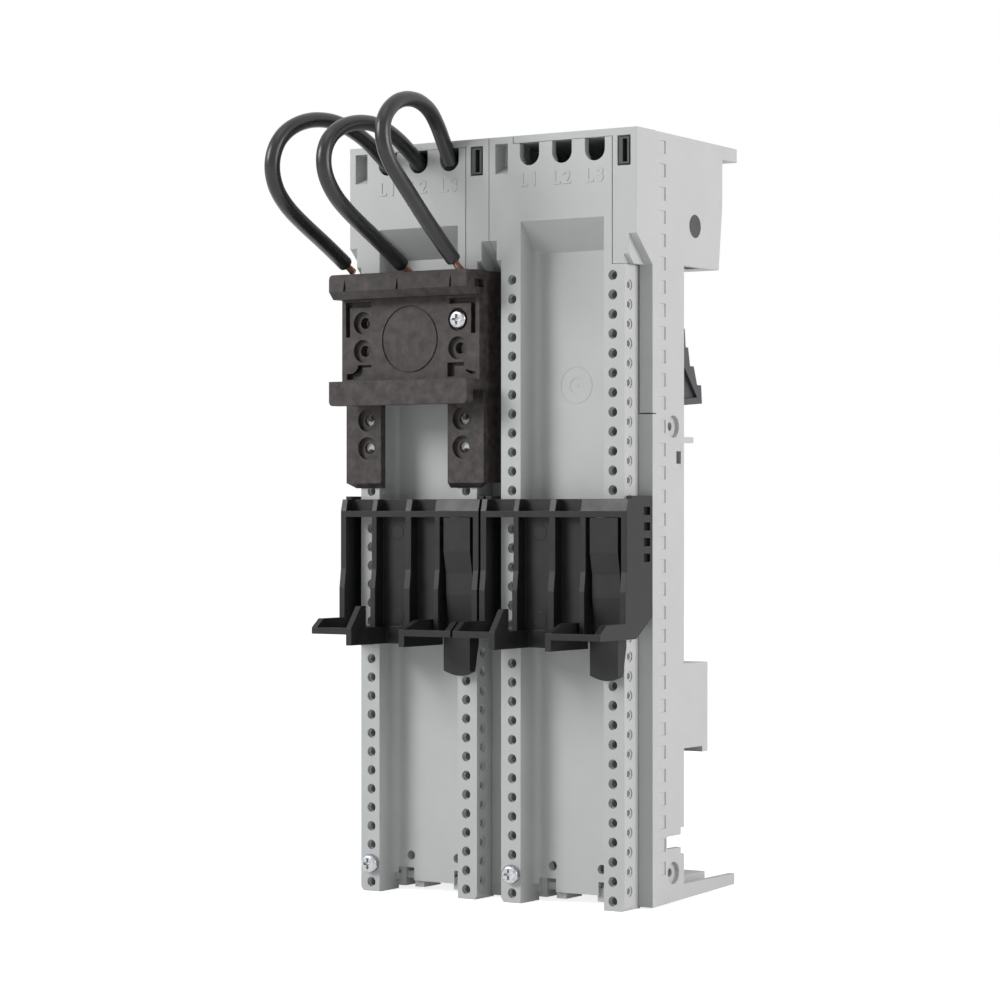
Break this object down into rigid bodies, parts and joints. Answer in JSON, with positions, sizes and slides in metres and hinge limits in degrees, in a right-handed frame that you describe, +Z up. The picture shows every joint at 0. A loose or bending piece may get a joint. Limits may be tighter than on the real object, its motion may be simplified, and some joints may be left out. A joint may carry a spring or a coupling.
{
  "type": "busbar adapter",
  "caption": "Flat adapter that hooks and latches onto busbars and carries switchgear on hole strips, with a device rail, plug-on carriers and flexible leads.",
  "frame": {"origin": "middle of the rear plane that seats on the busbars, at half height, between the modules", "axes": "+X to the right as seen from the front, +Y back towards the busbars, +Z up"},
  "size_m": [0.0898, 0.1011, 0.2111],
  "materials": {
    "housing_grey": "fine moulded grain",
    "rail_black": "coarse moulded grain",
    "carrier_black": "moulded, slightly shiny",
    "latch_grey": "moulded",
    "spring_steel": "rolled",
    "contact_metal": "tin-plated copper",
    "lead_black": "smooth insulation",
    "copper": "bare stranded copper",
    "screw_zinc": "bright zinc plating"
  },
  "bodies": {
    "adapter_body": {"left_base": "housing_grey", "left_front_plate": "housing_grey", "left_latch_spring": "spring_steel", "left_contactor_carrier": "carrier_black", "right_base": "housing_grey", "right_front_plate": "housing_grey", "right_latch_spring": "spring_steel", "right_contactor_carrier": "carrier_black", "contact_clip_l1": "contact_metal", "inner_lead_l1": "lead_black", "wire_l1": "lead_black", "wire_core_l1": "copper", "contact_clip_l2": "contact_metal", "inner_lead_l2": "lead_black", "wire_l2": "lead_black", "wire_core_l2": "copper", "contact_clip_l3": "contact_metal", "inner_lead_l3": "lead_black", "wire_l3": "lead_black", "wire_core_l3": "copper", "device_rail": "rail_black", "device_rail_screw": "screw_zinc", "front_plate_screws": "screw_zinc", "coupling_pins": "housing_grey"},
    "left_latch": {"left_latch_lever": "latch_grey"},
    "left_button": {"left_release_button": "latch_grey"},
    "left_tongue": {"left_carrier_tongue": "carrier_black"},
    "right_latch": {"right_latch_lever": "latch_grey"},
    "right_button": {"right_release_button": "latch_grey"},
    "right_tongue": {"right_carrier_tongue": "carrier_black"}
  },
  "joints": [
    {"name": "left_latch_pivot", "type": "hinge", "parent": "adapter_body", "child": "left_latch", "pos_m": [-0.004, 0.0059, 0.0769], "axis": [-1, 0, 0], "range_deg": [0, 16], "stiffness_Nm_per_rad": 0.25, "springref_deg": -11.46, "deforming": ["left_latch_spring"]},
    {"name": "left_button_slide", "type": "slide", "parent": "adapter_body", "child": "left_button", "axis": [0, 1, 0], "range_m": [0, 0.0046]},
    {"name": "left_tongue_flex", "type": "hinge", "parent": "adapter_body", "child": "left_tongue", "pos_m": [-0.00705, -0.0287, -0.00026], "axis": [-1, 0, 0], "range_deg": [0, 6], "stiffness_Nm_per_rad": 0.3, "springref_deg": -5.73},
    {"name": "right_latch_pivot", "type": "hinge", "parent": "adapter_body", "child": "right_latch", "pos_m": [0.041, 0.0059, 0.0769], "axis": [-1, 0, 0], "range_deg": [0, 16], "stiffness_Nm_per_rad": 0.25, "springref_deg": -11.46, "deforming": ["right_latch_spring"]},
    {"name": "right_button_slide", "type": "slide", "parent": "adapter_body", "child": "right_button", "axis": [0, 1, 0], "range_m": [0, 0.0046]},
    {"name": "right_tongue_flex", "type": "hinge", "parent": "adapter_body", "child": "right_tongue", "pos_m": [0.03795, -0.0287, -0.00026], "axis": [-1, 0, 0], "range_deg": [0, 6], "stiffness_Nm_per_rad": 0.3, "springref_deg": -5.73}
  ],
  "couplings": [
    {"joint": "left_button_slide", "follows": "left_latch_pivot", "m_per_rad": 0.0163},
    {"joint": "right_button_slide", "follows": "right_latch_pivot", "m_per_rad": 0.0163}
  ]
}
